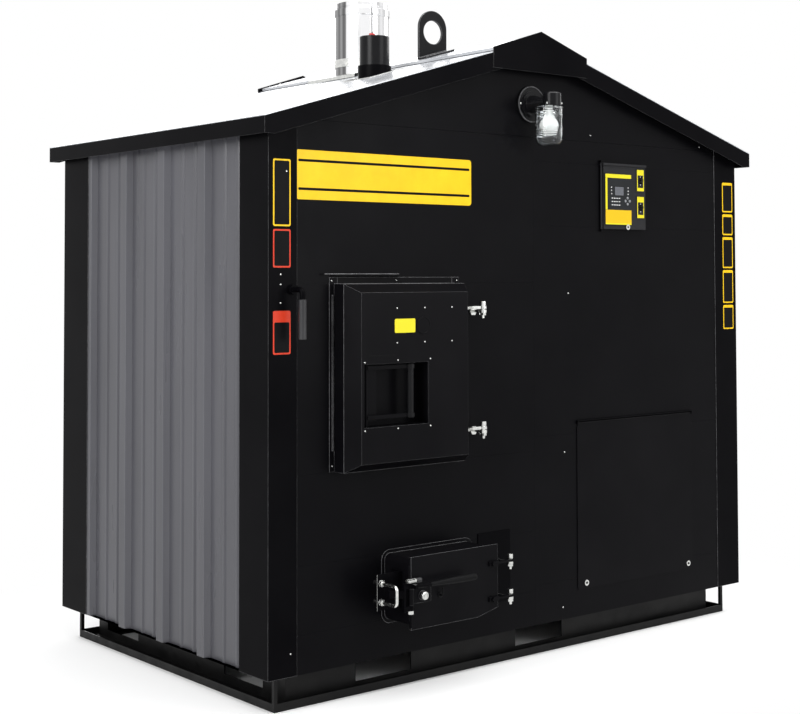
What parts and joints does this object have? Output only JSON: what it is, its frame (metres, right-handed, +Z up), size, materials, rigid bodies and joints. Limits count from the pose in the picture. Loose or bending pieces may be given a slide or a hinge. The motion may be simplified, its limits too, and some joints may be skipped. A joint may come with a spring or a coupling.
{
  "type": "outdoor pellet furnace",
  "caption": "Outdoor pellet furnace in a gabled steel cabinet with fire door, ash door, hopper with roof lid, chimney, vent float, lamp and key panel",
  "frame": {"origin": "middle of the base frame's underside, on the ground", "axes": "+X to the right along the front as the user faces it, +Y to the back, +Z up"},
  "size_m": [2.24, 1.558, 2.314],
  "materials": {
    "black_coat": "satin black powder coat",
    "frame_black": "black chassis paint",
    "black_textured": "dark ribbed sheet, semi-gloss",
    "galvanised": "pale coated sheet",
    "chimney_steel": "bright stainless",
    "zinc": "bright zinc plate",
    "steel_grey": "bare rolled steel",
    "cast": "cast iron, sooted",
    "refractory": "cast refractory and mineral board",
    "rope": "woven glass-fibre rope",
    "glass_clear": "clear ribbed glass",
    "bulb_white": "frosted white glass",
    "brass": "cast brass",
    "grey_plastic": "dark grey moulding",
    "black_plastic": "black plastic",
    "key_plastic": "pale grey key",
    "motor_blue": "blue-grey machine enamel"
  },
  "bodies": {
    "cabinet": {"base_frame": "frame_black", "plinth": "frame_black", "floor_pan": "steel_grey", "wall_frame": "steel_grey", "front_panel": "black_coat", "rear_panel": "black_coat", "side_panels": "black_textured", "corner_trims": "black_coat", "roof_panels": "galvanised", "roof_trims": "black_coat", "ridge_cap": "galvanised", "lifting_lug": "black_coat", "chimney": "chimney_steel", "roof_flashings": "galvanised", "vent_pipe": "black_coat", "lamp_base": "black_coat", "lamp_bulb": "bulb_white", "lamp_jar": "glass_clear", "cabinet_screws": "zinc", "fire_door_frame": "black_coat", "hinge_mounts": "zinc", "hinge_pins": "zinc", "ash_door_frame": "black_coat", "ash_keeper": "zinc", "boiler_shell": "steel_grey", "firebox": "steel_grey", "ash_chamber": "steel_grey", "burn_pot": "cast", "ash_pan": "steel_grey", "hopper": "galvanised", "auger_tube": "steel_grey", "auger_motor": "motor_blue", "blower_housing": "motor_blue", "service_ports": "brass", "control_box": "steel_grey"},
    "fire_door": {"fire_door_casing": "black_coat", "fire_door_plug": "refractory", "fire_door_gasket": "rope", "fire_hinge_arms": "zinc"},
    "fire_latch": {"fire_latch_handle": "black_coat"},
    "ash_door": {"ash_door_plate": "black_coat", "ash_door_plug": "refractory", "ash_hinge_arms": "zinc"},
    "ash_latch": {"ash_latch_handle": "black_coat"},
    "bypass": {"bypass_lever": "black_coat"},
    "hatch": {"access_hatch": "black_coat"},
    "hatch_lock_l": {"hatch_lock_left": "zinc"},
    "hatch_lock_r": {"hatch_lock_right": "zinc"},
    "control_door": {"control_panel": "grey_plastic"},
    "panel_lock": {"control_lock": "zinc"},
    "switch_u": {"switch_upper": "black_plastic"},
    "switch_l": {"switch_lower": "black_plastic"},
    "key_u": {"key_up": "key_plastic"},
    "key_d": {"key_down": "key_plastic"},
    "key_l": {"key_left": "key_plastic"},
    "key_r": {"key_right": "key_plastic"},
    "float": {"float_rod": "zinc"},
    "auger": {"auger_screw": "steel_grey"},
    "blower": {"blower_wheel": "galvanised"},
    "lid": {"hopper_lid": "galvanised"}
  },
  "joints": [
    {"name": "fire_door_hinge", "type": "hinge", "parent": "cabinet", "child": "fire_door", "pos_m": [-0.28, -0.715, 0.981], "axis": [0, 0, 1], "range_deg": [0, 120]},
    {"name": "fire_latch_turn", "type": "hinge", "parent": "fire_door", "child": "fire_latch", "pos_m": [-0.777, -0.74, 0.9275], "axis": [0, 0, 1], "range_deg": [-20, 2]},
    {"name": "ash_door_hinge", "type": "hinge", "parent": "cabinet", "child": "ash_door", "pos_m": [-0.233, -0.79, 0.325], "axis": [0, 0, 1], "range_deg": [0, 110]},
    {"name": "ash_latch_turn", "type": "hinge", "parent": "ash_door", "child": "ash_latch", "pos_m": [-0.663, -0.812, 0.32], "axis": [0, 0, 1], "range_deg": [-45, 0]},
    {"name": "bypass_turn", "type": "hinge", "parent": "cabinet", "child": "bypass", "pos_m": [-0.995, -0.7, 1.25], "axis": [0, -1, 0], "range_deg": [0, 90]},
    {"name": "hatch_hinge", "type": "hinge", "parent": "cabinet", "child": "hatch", "pos_m": [0.5055, -0.6658, 0.7775], "axis": [-1, 0, 0], "range_deg": [0, 80]},
    {"name": "hatch_lock_left_turn", "type": "hinge", "parent": "hatch", "child": "hatch_lock_l", "pos_m": [0.241, -0.664, 0.22], "axis": [0, 1, 0], "range_deg": [0, 90]},
    {"name": "hatch_lock_right_turn", "type": "hinge", "parent": "hatch", "child": "hatch_lock_r", "pos_m": [0.78, -0.664, 0.22], "axis": [0, 1, 0], "range_deg": [0, 90]},
    {"name": "panel_hinge", "type": "hinge", "parent": "cabinet", "child": "control_door", "pos_m": [0.329, -0.669, 1.5725], "axis": [0, 0, -1], "range_deg": [0, 100]},
    {"name": "panel_lock_turn", "type": "hinge", "parent": "control_door", "child": "panel_lock", "pos_m": [0.453, -0.667, 1.463], "axis": [0, -1, 0], "range_deg": [0, 90]},
    {"name": "switch_upper_rock", "type": "hinge", "parent": "control_door", "child": "switch_u", "pos_m": [0.524, -0.671, 1.634], "axis": [1, 0, 0], "range_deg": [-20, 20]},
    {"name": "switch_lower_rock", "type": "hinge", "parent": "control_door", "child": "switch_l", "pos_m": [0.524, -0.671, 1.536], "axis": [1, 0, 0], "range_deg": [-20, 20]},
    {"name": "key_up_press", "type": "slide", "parent": "control_door", "child": "key_u", "axis": [0, 1, 0], "range_m": [0, 0.001], "stiffness_N_per_m": 400},
    {"name": "key_down_press", "type": "slide", "parent": "control_door", "child": "key_d", "axis": [0, 1, 0], "range_m": [0, 0.001], "stiffness_N_per_m": 400},
    {"name": "key_left_press", "type": "slide", "parent": "control_door", "child": "key_l", "axis": [0, 1, 0], "range_m": [0, 0.001], "stiffness_N_per_m": 400},
    {"name": "key_right_press", "type": "slide", "parent": "control_door", "child": "key_r", "axis": [0, 1, 0], "range_m": [0, 0.001], "stiffness_N_per_m": 400},
    {"name": "float_travel", "type": "slide", "parent": "cabinet", "child": "float", "axis": [0, 0, 1], "range_m": [-0.05, 0.02]},
    {"name": "auger_spin", "type": "hinge", "parent": "cabinet", "child": "auger", "pos_m": [0.1, -0.15, 0.66], "axis": [1, 0, 0], "continuous": true},
    {"name": "blower_spin", "type": "hinge", "parent": "cabinet", "child": "blower", "pos_m": [0.4, -0.15, 0.369], "axis": [0, 1, 0], "continuous": true},
    {"name": "lid_hinge", "type": "hinge", "parent": "cabinet", "child": "lid", "pos_m": [0.323, 0.06, 2.0091], "axis": [0, -1, 0], "range_deg": [0, 80]}
  ]
}
